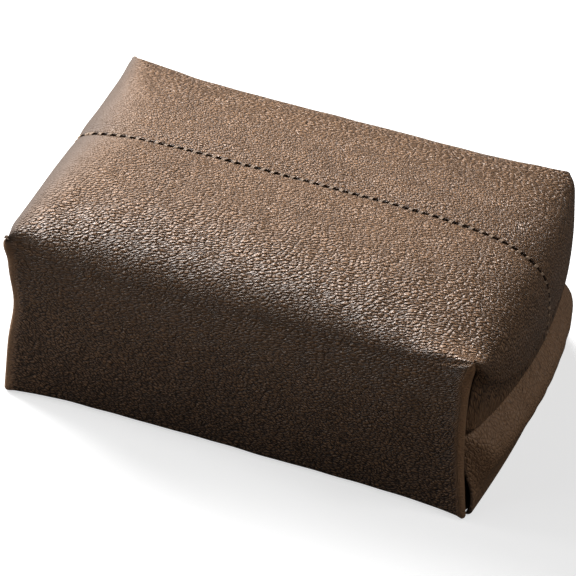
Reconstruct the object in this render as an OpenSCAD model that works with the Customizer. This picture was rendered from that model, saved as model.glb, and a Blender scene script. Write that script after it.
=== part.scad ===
// Soft leather tissue box cover with a sewn top and folding ends.
// Millimetres. The cover rests on z = 0, its length runs along X and its front wall faces -Y.

/* [Cover] */
// Length along the bottom edge
base_l = 210; // [190:1:230]
// Depth along the bottom edge
base_d = 129; // [115:1:140]
// How far the ear corners lean in past the base at each end
ear_lean = 2.5; // [-3:0.5:6]
// How far the ear corners stand out past the base, front and back
ear_flare = 2; // [0:0.5:4]
// Height of the four ear corners
ear_h = 88; // [78:1:98]
// Height of the crown between the ears
crown_h = 102; // [94:1:115]
// How much higher the crown stands at the left end than in the middle
crown_rise = 1.2; // [0:0.1:3]
// Height where the long walls turn into the top
side_shoulder_h = 79; // [62:1:84]
// Height where the right end turns into the top
right_shoulder_h = 59; // [58:1:72]
// Height where the left end turns into the top
left_shoulder_h = 85; // [62:1:87]
// How far the right end swells out between its corners
right_swell = 12.5; // [6:0.5:16]
// How far the left end swells out between its corners, below zero where it sinks in
left_swell = -2; // [-4:0.5:10]
// How far the long walls are drawn in between the ears
drawn_in = 5; // [1:0.5:6]
// How far the long walls are drawn in at half height
waist_in = 2; // [0:0.1:2.5]
// Radius of the fold along the bottom edge
hem_r = 2.5; // [2:0.5:6]
// Thickness of the leather
leather = 1.4; // [0.8:0.1:1.8]

/* [Top seam] */
// Depth of the valley that the seam lies in
valley_depth = 1.4; // [0.5:0.1:3]
// Half width of that valley
valley_w = 5; // [3:0.5:10]
// Open width between the two sewn edges
seam_gap = 0.6; // [0.3:0.1:1]
// Distance from one stitch to the next
stitch_pitch = 4.4; // [3.5:0.1:6]
// Length of one stitch
stitch_l = 2.6; // [1.5:0.1:3.2]
// Thickness of the sewing thread
thread_d = 0.8; // [0.5:0.1:1.2]
// Thickness of the tape that backs the seam
tape_t = 0.5; // [0.3:0.1:0.8]

/* [Folding ends] */
// Height of the upper flap's free edge
upper_edge_h = 42; // [38:1:45]
// How far the upper flap's free edge curls back in
upper_curl = 3.6; // [1:0.2:5]
// How far the flap's sides tuck in behind the wall folds
side_tuck = 3; // [1:0.5:5]
// Height of the lower flap
lower_h = 55; // [52:1:58]
// How far the right end's lower flap puffs out below the lap
right_puff = 10; // [0:0.5:12]
// How far the left end's lower flap puffs out below the lap
left_puff = 5; // [0:0.5:8]
// Room between the lapped flaps, for the magnet and its cover
lap_gap = 2.2; // [2:0.1:3]
// Gap between a flap's side edge and the wall beside it
side_clear = 1; // [0.6:0.1:2]
// Width of a side tuck
tuck_w = 34; // [20:1:35]
// Gap between a side tuck and the flaps in front of it
tuck_clear = 0.4; // [0.3:0.1:1]

/* [Magnets] */
// Length of the magnet strip
magnet_l = 28; // [16:1:40]
// Height of the magnet strip
magnet_h = 6; // [4:0.5:7]
// Thickness of the magnet strip
magnet_t = 1; // [0.6:0.1:1.1]
// Thickness of the leather covers over the magnets
cover_t = 0.4; // [0.3:0.1:0.5]
// How far a cover reaches past its magnet
cover_margin = 1.5; // [1:0.1:1.5]

/* [Base] */
// How far the tissue outlet stays from each end of the base
outlet_inset = 35; // [28:1:55]
// Width of the tissue outlet
outlet_w = 24; // [16:1:40]
// Width of the edging round the outlet
edging_w = 7; // [5:0.5:10]
// Thickness of that edging
edging_t = 0.9; // [0.5:0.1:1.2]
// Thickness of the stiff board in the base
board_t = 1.6; // [1:0.1:2.5]
// Gap between the board and the walls round it
board_clear = 3; // [2:0.5:6]

/* [Hidden] */

leather_color = "#84695a";
thread_color = "#33261e";
tape_color = "#4a3b33";
board_color = "#8b8680";
magnet_color = "#3a3a3c";
steel_color = "#b4b6b8";

// Two pieces of one body that lie against each other keep this gap
seat = 0.08;
// Two pieces that move apart keep this gap
fold_clear = 0.4;

// Length and depth between the ear corners at the top
ear_l = base_l - 2 * ear_lean;
ear_d = base_d + 2 * ear_flare;
// Length of the tissue outlet
outlet_l = base_l - 2 * outlet_inset;

// Exponents of the rounded outline along the length, across the depth and round an end's swelling
long_power = 3.8;
cross_power = 3.1;
swell_power = 3.3;
// Exponents with which the height of the shoulder and the drawing-in fade towards the ears
ear_fade = 4;
draw_fade = 3;
tuck_fade = 8;
// Exponent with which a lower flap's puff fades towards its side edges
puff_fade = 6;

// Facets round the outlet's ends and round the thread
slot_facets = 48;
thread_facets = 8;

// Share of the half length at which an upper flap folds away from the top
fold_share = 0.93;
// Rows across the seam's valley, as shares of its half width, and the count of them under the tape
valley_shares = [0.5, 1, 1.6];
tape_rows = 2;
// Rows from the valley to the ears' edge, and from there to the shoulder, as shares of each way
cap_shares = [0.12, 0.27, 0.43, 0.6, 0.76, 0.89, 1];
shoulder_shares = [0.25, 0.5, 0.75, 1];
// Rows down the front wall, as shares of its height
wall_shares = [0.85, 0.65, 0.45, 0.25, 0.1, 0];
// Columns along the cover, as a count of steps from end to end
long_steps = 34;
// Rows and columns of a flap
flap_top_shares = [0, 0.3, 0.55, 0.75, 0.9, 1];
flap_down_shares = [0.25, 0.5, 0.75, 1];
flap_shares = [0.15, 0.35, 0.55, 0.75, 0.9, 1];
hem_steps = 4;
lower_shares = [0, 0.06, 0.18, 0.35, 0.55, 0.745, 0.81, 0.87, 0.935, 1];
lower_steps = 16;
strip_steps = 4;

// Whichever end is meant, 1 for the right end and -1 for the left
function swell(end) = end > 0 ? right_swell : left_swell;
function shoulder(end) = end > 0 ? right_shoulder_h : left_shoulder_h;
function lower_puff(end) = end > 0 ? right_puff : left_puff;
function sign_of(s) = s < 0 ? -1 : 1;

// The other coordinate of a rounded outline, for a share s of its half width
function rounded(s, power) = pow(max(0, 1 - pow(abs(s), power)), 1 / power);
// Shares from -1 to 1 in n steps, closest together at both ends
function spread(n) = [for (i = [0 : n]) sin(90 * (2 * i / n - 1))];
function mix(a, b, t) = a + (b - a) * t;
// Half length of the top at a share of the half depth, at one end
function half_l_at(end, sy) = ear_l / 2 + swell(end) * (1 - pow(abs(sy), swell_power));
function half_d_at(sx) = ear_d / 2 - drawn_in * (1 - pow(abs(sx), draw_fade));

// Point of the top at shares sx and sy of its half length and half depth, a depth below the surface
function top_at(sx, sy, depth) =
    let (end = sign_of(sx),
         half_l = half_l_at(end, sy) - depth,
         half_d = half_d_at(sx) - depth,
         rim = ear_h - (ear_h - side_shoulder_h) * (1 - pow(abs(sx), ear_fade)) * pow(sy, 2)
               - (ear_h - shoulder(end)) * (1 - pow(abs(sy), ear_fade)) * pow(sx, 2),
         rise = (crown_h - crown_rise * sx - rim - depth) * rounded(sx, long_power) * rounded(sy, cross_power),
         dip = valley_depth * exp(-pow(half_d * sy / valley_w, 2)))
    [half_l * sx, half_d * sy, rim + rise - dip];

// Point of the front wall, w is 1 at the shoulder and 0 at the top of the bottom fold
function wall_at(sx, w, depth) =
    let (top = top_at(sx, -1, depth),
         foot_x = base_l / 2 * sx,
         foot_y = -base_d / 2 + depth,
         waist = 4 * w * (1 - w) * waist_in)
    [mix(foot_x, top[0], w), mix(foot_y, top[1], w * w) + waist, mix(hem_r, top[2], w)];

// Point of the fold along the bottom edge, turn is 0 on the wall and 90 on the floor
function hem_at(sx, turn, depth) =
    [base_l / 2 * sx,
     -base_d / 2 + hem_r - (hem_r - depth) * cos(turn),
     hem_r - (hem_r - depth) * sin(turn)];

// Point of an end's outer skin below its shoulder, at height z
function end_x(end, sy, z) =
    let (down = (shoulder(end) - z) / (shoulder(end) - upper_edge_h))
    half_l_at(end, sy) - side_tuck * pow(abs(sy), tuck_fade) - upper_curl * down * max(0, down);

// Where the side edges of both flaps and of the tucks stand, from the middle
flap_half_w = base_d / 2 - waist_in - leather - side_clear;
tuck_half_w = base_d / 2 - waist_in - leather - tuck_clear;
lower_half_w = min(base_d / 2 - hem_r - fold_clear, tuck_half_w);
// Shares of the half depth: the flap's side edge, and the edge of the top whose inner side clears it
function share_of(y) = y / (ear_d / 2);
flap_share = share_of(flap_half_w);
ear_share = (flap_half_w + fold_clear) / (ear_d / 2 - leather);
corner_share = (flap_half_w + 2 * fold_clear) / (ear_d / 2 - leather);
seam_shares = [share_of(seam_gap / 2), for (s = valley_shares) share_of(s * valley_w)];
valley_share = seam_shares[len(seam_shares) - 1];

// Rows of an upper flap from its fold to its free edge: [0, share over the shoulder] or [1, share down]
function flap_rows() = concat([for (s = flap_top_shares) [0, s]], [for (s = flap_down_shares) [1, s]]);
function flap_at(end, row, sy, depth) =
    row[0] == 0
    ? let (sx = mix(fold_share, 1, row[1]), p = top_at(end * sx, sy, depth))
      [abs(p[0]) - row[1] * side_tuck * pow(abs(sy), tuck_fade), p[1], p[2]]
    : let (z = mix(shoulder(end) + rim_rise(end, sy), upper_edge_h, row[1]))
      [end_x(end, sy, mix(shoulder(end), upper_edge_h, row[1])) - depth, (ear_d / 2) * sy, z];
// The end's shoulder climbs towards the ears by this much
function rim_rise(end, sy) = (ear_h - shoulder(end)) * pow(abs(sy), ear_fade);

// Closed sheet between two grids of points, rows by columns
module sheet(outer, inner) {
    rows = len(outer);
    cols = len(outer[0]);
    points = concat([for (r = outer) each r], [for (r = inner) each r]);
    in = rows * cols;
    faces = concat(
        [for (i = [0 : rows - 2], j = [0 : cols - 2]) each
            let (a = i * cols + j, b = a + 1, c = a + cols, d = c + 1)
            [[a, d, b], [a, c, d], [in + a, in + b, in + d], [in + a, in + d, in + c]]],
        [for (j = [0 : cols - 2]) each
            let (a = j, b = j + 1, c = (rows - 1) * cols + j, d = c + 1)
            [[a, b, in + b], [a, in + b, in + a], [c, in + d, d], [c, in + c, in + d]]],
        [for (i = [0 : rows - 2]) each
            let (a = i * cols, b = a + cols, c = a + cols - 1, d = c + cols)
            [[a, in + b, b], [a, in + a, in + b], [c, d, in + d], [c, in + d, in + c]]]);
    polyhedron(points, faces, convexity = 6);
}

// Drawn for the right end, or mirrored to the left end
module at_end(end) {
    mirror([end < 0 ? 1 : 0, 0, 0]) children();
}

// Drawn for the front, or mirrored to the back
module at_side(side) {
    mirror([0, side > 0 ? 1 : 0, 0]) children();
}

// One row of the panel that makes half the top and one long wall
function panel_row(kind, s, depth) =
    let (reach = kind == "top" && s < corner_share ? fold_share : 1)
    [for (sx = spread(long_steps))
        kind == "top" ? top_at(sx * reach, -s, depth)
        : kind == "wall" ? wall_at(sx, s, depth)
        : hem_at(sx, s, depth)];
function panel_grid(depth) = concat(
    [for (s = seam_shares) panel_row("top", s, depth)],
    [for (s = cap_shares) panel_row("top", mix(valley_share, ear_share, s), depth)],
    [panel_row("top", corner_share, depth)],
    [for (s = shoulder_shares) panel_row("top", mix(corner_share, 1, s), depth)],
    [for (s = wall_shares) panel_row("wall", s, depth)],
    [for (i = [1 : hem_steps]) panel_row("hem", 90 * i / hem_steps, depth)]);

module long_panel(side) {
    color(leather_color)
        at_side(side)
            sheet(panel_grid(0), panel_grid(leather));
}

module slot(length, width) {
    square([length - width, width], center = true);
    for (x = [-1, 1])
        translate([x * (length - width) / 2, 0])
            circle(d = width, $fn = slot_facets);
}

module base_panel() {
    color(leather_color)
        linear_extrude(leather)
            difference() {
                square([base_l - 2 * hem_r, base_d - 2 * (hem_r + seat)], center = true);
                slot(outlet_l, outlet_w);
            }
}

module base_board() {
    color(board_color)
        translate([0, 0, leather + seat])
            linear_extrude(board_t)
                difference() {
                    square([board_l, board_d], center = true);
                    slot(outlet_l + 2 * (edging_w + board_clear), outlet_w + 2 * (edging_w + board_clear));
                }
}

module outlet_edging() {
    color(leather_color)
        translate([0, 0, leather + seat])
            linear_extrude(edging_t)
                difference() {
                    slot(outlet_l + 2 * edging_w, outlet_w + 2 * edging_w);
                    slot(outlet_l, outlet_w);
                }
}

// One stitch lying along X, its underside on the origin
module stitch() {
    translate([0, 0, thread_d / 2 + seat])
        rotate([0, 90, 0])
            cylinder(h = stitch_l, d = thread_d, center = true, $fn = thread_facets);
}

module outlet_thread() {
    straight = outlet_l - outlet_w;
    half = floor(straight / 2 / stitch_pitch);
    bend_r = (outlet_w + edging_w) / 2;
    bend = floor(PI * bend_r / stitch_pitch);
    color(thread_color)
        translate([0, 0, leather + edging_t + seat]) {
            for (side = [-1, 1], i = [-half : half])
                translate([i * stitch_pitch, side * bend_r, 0])
                    stitch();
            for (end = [0, 1], i = [1 : bend - 1])
                rotate([0, 0, 180 * end])
                    translate([straight / 2, 0, 0])
                        rotate([0, 0, 180 * i / bend - 90])
                            translate([bend_r, 0, 0])
                                rotate([0, 0, 90])
                                    stitch();
        }
}

// Stitch lying on a curve of the seam: a point on it and the next one along
module stitch_on(p, q) {
    translate(p)
        rotate([0, -atan2(q[2] - p[2], q[0] - p[0]), 0])
            stitch();
}

module top_seam_thread() {
    color(thread_color)
        for (end = [-1, 1]) {
            half = half_l_at(end, 0);
            count = floor((half * fold_share - stitch_l / 2) / stitch_pitch);
            at_end(end)
                for (i = [end > 0 ? 0 : 1 : count]) {
                    x = i * stitch_pitch;
                    step = stitch_l / 2;
                    p = top_at(end * x / half, 0, 0);
                    q = top_at(end * (x + step) / half, 0, 0);
                    stitch_on([abs(p[0]), 0, p[2]], [abs(q[0]), 0, q[2]]);
                }
        }
}

// Rows of the tape, from one edge to the other
function tape_shares() =
    let (half = [for (i = [0 : tape_rows]) seam_shares[i]])
    concat(reversed(half), -half);
function reversed(list) = [for (i = [len(list) - 1 : -1 : 0]) list[i]];

module top_seam_tape() {
    shares = spread(long_steps) * fold_share;
    color(tape_color)
        sheet([for (sy = tape_shares()) [for (sx = shares) top_at(sx, sy, leather + seat)]],
              [for (sy = tape_shares()) [for (sx = shares) top_at(sx, sy, leather + seat + tape_t)]]);
}

// Half of an upper flap, from its side edge to the seam
module upper_flap_half(end, side) {
    outer_shares = [for (s = reversed(flap_shares)) -mix(valley_share, flap_share, s)];
    shares = concat(outer_shares, -reversed(seam_shares));
    rows = flap_rows();
    color(leather_color)
        at_end(end)
            at_side(side)
                translate([fold_clear, 0, 0])
                    sheet([for (sy = shares) [for (r = rows) flap_at(end, r, sy, 0)]],
                          [for (sy = shares) [for (r = rows) flap_at(end, r, sy, leather)]]);
}

// Strip that lies behind an upper flap, at a depth below its outer face
module flap_strip(end, depth, t, shares, rows) {
    at_end(end)
        translate([fold_clear, 0, 0])
            sheet([for (sy = shares) [for (r = rows) flap_at(end, r, sy, depth)]],
                  [for (sy = shares) [for (r = rows) flap_at(end, r, sy, depth + t)]]);
}

module flap_tape(end) {
    color(tape_color)
        flap_strip(end, leather + seat, tape_t, -tape_shares(),
                   concat([for (s = flap_top_shares) [0, s]], [[1, tape_end_share]]));
}

module flap_thread(end) {
    rows = flap_rows();
    line = [for (r = rows) flap_at(end, r, 0, 0)];
    total = path_length(line);
    count = floor((total - stitch_l) / stitch_pitch);
    color(thread_color)
        at_end(end)
            translate([fold_clear, 0, 0])
                for (i = [0 : count]) {
                    s = stitch_l / 2 + i * stitch_pitch;
                    stitch_on(path_point(line, s), path_point(line, s + stitch_l / 2));
                }
}

// Length of a line of points, and the point that lies a distance along it
function path_length(line, i = 0) = i >= len(line) - 1 ? 0 : norm(line[i + 1] - line[i]) + path_length(line, i + 1);
function path_point(line, s, i = 0) =
    let (step = norm(line[i + 1] - line[i]))
    s <= step || i >= len(line) - 2 ? mix(line[i], line[i + 1], s / step) : path_point(line, s - step, i + 1);

// Height of a strip's lower and upper edge on the flap, as rows down from the shoulder
function down_share(end, z) = (shoulder(end) - z) / (shoulder(end) - upper_edge_h);
function strip_rows(end, low, high) =
    [for (i = [0 : strip_steps]) [1, down_share(end, mix(high, low, i / strip_steps))]];
function across(half_w) = [for (i = [0 : strip_steps]) share_of(half_w * (2 * i / strip_steps - 1))];
magnet_z = (upper_edge_h + lower_h) / 2;
tape_end_share = 0.1;

module magnet(end) {
    color(magnet_color)
        flap_strip(end, leather + seat, magnet_t, across(magnet_l / 2),
                   strip_rows(end, magnet_z - magnet_h / 2, magnet_z + magnet_h / 2));
}

module magnet_cover(end) {
    color(leather_color)
        flap_strip(end, leather + magnet_t + 2 * seat, cover_t, across(magnet_l / 2 + cover_margin),
                   strip_rows(end, magnet_z - magnet_h / 2 - cover_margin, magnet_z + magnet_h / 2 + cover_margin));
}

// Point of a lower flap at height z, which lies under the upper flap where they lap
function smooth(t) = t * t * (3 - 2 * t);
function lower_at(end, sy, z, depth) =
    let (t = min(1, (z - hem_r) / (upper_edge_h - hem_r)),
         head = end_x(end, sy, max(z, upper_edge_h)) - leather - lap_gap,
         puff = lower_puff(end) * 4 * t * (1 - t) * (1 - pow(abs(sy), puff_fade)))
    [mix(base_l / 2, head, smooth(t)) + puff - depth, (ear_d / 2) * sy, z];
function lower_hem_at(sy, turn, depth) =
    [base_l / 2 - hem_r + (hem_r - depth) * sin(turn), (ear_d / 2) * sy, hem_r - (hem_r - depth) * cos(turn)];
function lower_column(end, sy, depth) = concat(
    [for (s = reversed(lower_shares)) lower_at(end, sy, mix(hem_r, lower_h, s), depth)],
    [for (i = [hem_steps - 1 : -1 : 0]) lower_hem_at(sy, 90 * i / hem_steps, depth)]);

module lower_flap(end) {
    shares = [for (s = spread(lower_steps)) s * share_of(lower_half_w)];
    color(leather_color)
        at_end(end)
            translate([fold_clear, 0, 0])
                sheet([for (sy = shares) lower_column(end, sy, 0)],
                      [for (sy = shares) lower_column(end, sy, leather)]);
}

// Strip that lies behind a lower flap, between two heights
module lower_strip(end, depth, t, shares, low, high) {
    heights = [for (i = [0 : strip_steps]) mix(high, low, i / strip_steps)];
    at_end(end)
        translate([fold_clear, 0, 0])
            sheet([for (sy = shares) [for (z = heights) lower_at(end, sy, z, depth)]],
                  [for (sy = shares) [for (z = heights) lower_at(end, sy, z, depth + t)]]);
}

module keeper(end) {
    color(steel_color)
        lower_strip(end, leather + seat, magnet_t, across(magnet_l / 2),
                    magnet_z - magnet_h / 2, magnet_z + magnet_h / 2);
}

module keeper_cover(end) {
    color(leather_color)
        lower_strip(end, leather + magnet_t + 2 * seat, cover_t, across(magnet_l / 2 + cover_margin),
                    magnet_z - magnet_h / 2 - cover_margin, magnet_z + magnet_h / 2 + cover_margin);
}

// A side tuck is cut to 45 degrees at both ends, so that it folds behind both flaps
module tuck(end, side) {
    low = hem_r;
    high = tuck_top_h;
    color(leather_color)
        at_end(end)
            at_side(side)
                translate([tuck_x - leather, -tuck_half_w, 0])
                    rotate([90, 0, 90])
                        linear_extrude(leather)
                            polygon([[0, low], [tuck_w, low + tuck_w], [tuck_w, high - tuck_w], [0, high]]);
}

// The tucks stand just behind the flattest part of the lower flap
tuck_x = min(end_x(1, flap_share, upper_edge_h), end_x(-1, flap_share, upper_edge_h))
         - 2 * leather - lap_gap - tuck_clear;
tuck_top_h = ear_h - hem_r;
board_l = 2 * (tuck_x - leather - board_clear);
board_d = base_d - 2 * (hem_r + board_clear);

// How far an end reaches from the middle of the base, by its stitches, its puffed lower flap or its corners
function reach(end) =
    let (puffed = [for (s = lower_shares) lower_at(end, 0, mix(hem_r, lower_h, s), 0)[0]])
    max(fold_clear + half_l_at(end, 0) + seat + thread_d, fold_clear + max(puffed), base_l / 2, ear_l / 2);

// The unequal ends put the middle of the whole cover off the middle of its base
module place() {
    translate([(reach(-1) - reach(1)) / 2, 0, 0]) children();
}

place() long_panel(-1);  // front_panel
place() long_panel(1);  // back_panel
place() base_panel();
place() top_seam_thread();
place() top_seam_tape();
place() base_board();
place() outlet_edging();
place() outlet_thread();
place() upper_flap_half(1, -1);  // right_upper_flap_front
place() upper_flap_half(1, 1);  // right_upper_flap_back
place() flap_thread(1);  // right_flap_thread
place() flap_tape(1);  // right_flap_tape
place() magnet(1);  // right_magnet
place() magnet_cover(1);  // right_magnet_cover
place() lower_flap(1);  // right_lower_flap
place() keeper(1);  // right_keeper
place() keeper_cover(1);  // right_keeper_cover
place() tuck(1, -1);  // right_front_tuck
place() tuck(1, 1);  // right_back_tuck
place() upper_flap_half(-1, -1);  // left_upper_flap_front
place() upper_flap_half(-1, 1);  // left_upper_flap_back
place() flap_thread(-1);  // left_flap_thread
place() flap_tape(-1);  // left_flap_tape
place() magnet(-1);  // left_magnet
place() magnet_cover(-1);  // left_magnet_cover
place() lower_flap(-1);  // left_lower_flap
place() keeper(-1);  // left_keeper
place() keeper_cover(-1);  // left_keeper_cover
place() tuck(-1, -1);  // left_front_tuck
place() tuck(-1, 1);  // left_back_tuck
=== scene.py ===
import bmesh
import bpy
import numpy as np
from mathutils import Matrix, Vector


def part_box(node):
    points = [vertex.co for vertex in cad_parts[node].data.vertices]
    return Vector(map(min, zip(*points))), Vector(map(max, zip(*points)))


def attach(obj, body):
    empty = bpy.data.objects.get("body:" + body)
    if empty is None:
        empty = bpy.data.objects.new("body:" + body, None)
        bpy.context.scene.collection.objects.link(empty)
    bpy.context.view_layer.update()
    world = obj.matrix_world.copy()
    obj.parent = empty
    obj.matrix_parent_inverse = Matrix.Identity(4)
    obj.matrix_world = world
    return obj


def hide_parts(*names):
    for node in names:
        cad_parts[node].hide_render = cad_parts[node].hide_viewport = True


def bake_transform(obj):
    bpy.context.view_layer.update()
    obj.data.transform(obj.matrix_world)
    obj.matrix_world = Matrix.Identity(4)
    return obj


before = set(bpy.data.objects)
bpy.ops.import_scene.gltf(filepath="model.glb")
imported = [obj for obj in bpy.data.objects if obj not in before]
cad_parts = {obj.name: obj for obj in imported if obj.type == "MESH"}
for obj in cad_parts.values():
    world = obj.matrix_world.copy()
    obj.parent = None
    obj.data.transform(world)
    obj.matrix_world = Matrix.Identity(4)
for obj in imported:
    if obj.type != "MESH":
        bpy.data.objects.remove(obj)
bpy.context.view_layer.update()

# Front and back leather. Two halves of one soft milled hide make the top and the long walls.
# Each half is cut in one piece: from the middle seam over the padded shoulder, down the wall and
# round the bottom fold. Its ends are rolled back into a soft upright rim.
BASE_L, BASE_D = 210.0, 129.0
EAR_L, EAR_D, EAR_H = 205.0, 133.0, 88.0
CROWN_H, CROWN_RISE, SIDE_SHOULDER_H = 102.0, 1.2, 79.0
SHOULDER_H = {1: 59.0, -1: 85.0}
SWELL = {1: 12.5, -1: -2.0}
DRAWN_IN, WAIST_IN, HEM_R, LEATHER_T = 5.0, 2.0, 2.5, 1.4
FOLD_SHARE = 0.93  # share of the length where the long halves end on the top and the end flaps start
RIM_TURN = np.radians(130)  # how far the upright rims roll in
HALF_TOP = 66.0  # from the seam to the shoulder, for distances from the seam
CORNER_Y = 60.7  # from the middle to the sides of the base's bow, the lower flaps and the tucks
FAR = 1e3  # edge distance of a point with no cut edge near it
box_low, box_high = (np.array(p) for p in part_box("base_panel"))
middle_x = (box_low[0] + box_high[0]) / 2


def rounded(s, power):
    """Superellipse: (1 - |s|^power)^(1/power)."""
    return np.maximum(1 - np.abs(s) ** power, 0) ** (1 / power)


def smooth(t):
    """Ease from 0 to 1: 3t^2 - 2t^3, with t held between 0 and 1."""
    t = np.clip(t, 0, 1)
    return t * t * (3 - 2 * t)


def mix(a, b, t):
    """Straight line from a to b: a + (b - a)t."""
    return a + (b - a) * t


def half_length(end, sy):
    """Half length at a share of the depth: half the ears' length plus the end's swell, fading as |sy|^3.3."""
    swell = np.where(end > 0, SWELL[1], SWELL[-1])
    return EAR_L / 2 + swell * (1 - np.abs(sy) ** 3.3)


def edge_roll(sx, inward, below):
    """Shift inward and down that lays the shoulder's edge near the ears on an arc of up to 3.5 mm radius.

    The arc's angle is 45 degrees x (1 + (below - inward) / radius): inward counts on the top, below on the wall."""
    r = 1e-6 + 3.5 * smooth((np.abs(sx) - 0.74) / 0.2)
    a, b = np.minimum(inward, r), np.minimum(below, r)
    angle = np.pi / 4 * (1 + (b - a) / r)
    return r * (1 - np.sin(angle)) - a, r * (1 - np.cos(angle)) - b


def crown(sx, sy):
    """Top of the cover: a rim that is highest at the ears, a dome of two superellipses and the seam's valley."""
    end = np.where(sx < 0, -1, 1)
    half_d = EAR_D / 2 - DRAWN_IN * (1 - np.abs(sx) ** 3)
    shoulder = np.where(end > 0, SHOULDER_H[1], SHOULDER_H[-1])
    back, front = np.maximum(sy, 0), np.maximum(-sy, 0)
    ear_h = EAR_H + 0.9 * sy - np.where(sx < 0, 2.6, 1.2) * sx * back + 0.6 * np.maximum(sx, 0) * sy ** 2
    sag = 1 - np.abs(sx) ** np.where((sx < 0) & (sy > 0), 3.0, 4.0)
    rim = (ear_h - (ear_h - SIDE_SHOULDER_H + back + 5 * front) * sag * sy ** 2
           - (ear_h - shoulder) * (1 - np.abs(sy) ** 4) * sx ** 2)
    rise = (CROWN_H - CROWN_RISE * sx - rim) * rounded(sx, 3.8) * rounded(sy, np.where(sy < 0, 2.35, 3.1))
    dip = 1.2 * np.exp(-(half_d * sy / 5) ** 2)
    inward, down = edge_roll(sx, half_d * (1 - np.abs(sy)), 0.0)
    y = half_d * sy - np.sign(sy) * inward
    return np.stack([half_length(end, sy) * sx, y, rim + rise - dip - down], -1)


def hump(w, middle, width):
    """Bell curve: exp(-((w - middle) / width)^2)."""
    return np.exp(-((w - middle) / width) ** 2)


def rim_radius(w):
    """Radius of the rolled upright rim at a height share: 0 at the ear, fuller just below it, thin at the bottom."""
    return (1.5 + 0.8 * smooth(w / 0.5) + 1.2 * hump(w, 0.86, 0.08)) * smooth((1 - w) / 0.06)


def rim_reach(end, w):
    """Where a rim stands: a straight line from the bottom fold to the ear, drawn in at the waist of the cover."""
    low = np.where(end > 0, 104.2, 106.7)
    high = np.where(end > 0, 102.9, 102.6)
    pull = np.where(end > 0, 3.2 * 4 * w * (1 - w), 2.7 * hump(w, 0.56, 0.18))
    return mix(low, high, w) - pull


def ear_form(P):
    """Blunts the four ears: a nose that swells outward 6.5 mm below each tip, and a tip drawn inward and down."""
    x, y, z = np.moveaxis(P, -1, 0)
    end, side = np.sign(x), np.sign(y)
    dx, dy = EAR_L / 2 - np.abs(x), EAR_D / 2 - np.abs(y)
    nose = np.where(end < 0, 2.2, 0.9) * hump(z, 81.5, 6) * hump(np.maximum(dy, 0), 0, 8) * smooth((16 - dx) / 16)
    tip = np.exp(-(dx ** 2 + dy ** 2 + (z - EAR_H) ** 2) / 24)
    outward = nose - np.where(end < 0, 2.3, 1.0) * tip
    return P + np.stack([end * outward, -side * 0.2 * tip, -0.5 * tip], -1)


def wall(c, w, turn, side):
    """Long wall: straight between the rims, then an arc round each upright rim; below it an arc of the bottom fold.

    c runs along the wall, past -1 and 1 on the rims; w is 1 at the shoulder; turn is the bottom fold's angle."""
    sx = np.clip(c, -1, 1)
    top = crown(sx, side * np.ones_like(sx))
    at_edge, drop_edge = edge_roll(sx, 0.0, 0.0)
    top_y, top_z = side * top[..., 1] + at_edge, top[..., 2] + drop_edge
    rim_r = rim_radius(w)
    arc = np.maximum(np.abs(c) - 1, 0) * RIM_TURN
    bow = 3.2 * np.abs(sx) ** 5 - 0.6
    reach = mix(BASE_L / 2, EAR_L / 2, w)
    reach = reach + (rim_reach(np.sign(c), w) - reach) * np.abs(sx) ** 7
    x = sx * reach - np.sign(c) * rim_r * np.abs(sx) ** 6 * (1 - np.sin(arc))
    waist = mix(-1.2, WAIST_IN, sx ** 4)
    y = mix(BASE_D / 2 + bow, top_y, w * w) - 4 * w * (1 - w) * waist - rim_r * (1 - np.cos(arc))
    hem = mix(HEM_R, 1.6, smooth((np.abs(c) - 0.97) / 0.03))
    inward, lower = edge_roll(sx, 0.0, (top_z - hem) * (1 - w))
    tuck = hem * (1 - np.cos(turn))
    x = x - np.sign(c) * np.sin(arc) * tuck
    y = y - np.cos(arc) * tuck - inward
    z = np.where(turn > 0, hem * (1 - np.sin(turn)), mix(hem, top_z, w) - lower)
    return np.stack([x, side * y, z], -1)


rng = np.random.default_rng(7)
fold_waves = rng.normal(size=(14, 3))
fold_waves *= (2 * np.pi / rng.uniform(16, 55, 14) / np.linalg.norm(fold_waves, axis=1))[:, None]
fold_phases = rng.uniform(0, 2 * np.pi, 14)


def soft_folds(P):
    """Slow unevenness of soft leather: the sum of sines of fixed directions, 16 to 55 mm long, about 0.15 mm high."""
    return 0.045 * np.sin(P @ fold_waves.T + fold_phases).sum(-1)


def ear_pinch(P, along, tall):
    """Ridges that fan out from an ear: sin(9 angle) round the ear's tip, rising over 7 mm and fading over 14 mm."""
    dx, dz = tall - P[..., 2], along
    d = np.hypot(dx, dz)
    return 0.32 * np.sin(9 * np.arctan2(dz, dx) + 0.6) * np.exp(-d / 14) * smooth(d / 7)


def normals_of(P, cells):
    """Unit normals of a grid's points: the area-weighted sum of the normals of the cells that are kept."""
    n = np.cross(P[1:, :-1] - P[:-1, 1:], P[1:, 1:] - P[:-1, :-1]) * cells[..., None]
    N = np.zeros_like(P)
    for a, b in ((slice(0, -1), slice(0, -1)), (slice(1, None), slice(0, -1)),
                 (slice(0, -1), slice(1, None)), (slice(1, None), slice(1, None))):
        N[a, b] += n
    return N / np.maximum(np.linalg.norm(N, axis=-1, keepdims=True), 1e-9)


def run_length(P, axis):
    """Arc length along one axis of a grid of points, from its first row or column."""
    step = np.linalg.norm(np.diff(P, axis=axis), axis=-1)
    return np.cumsum(np.insert(step, 0, 0, axis=axis), axis=axis)


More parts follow.
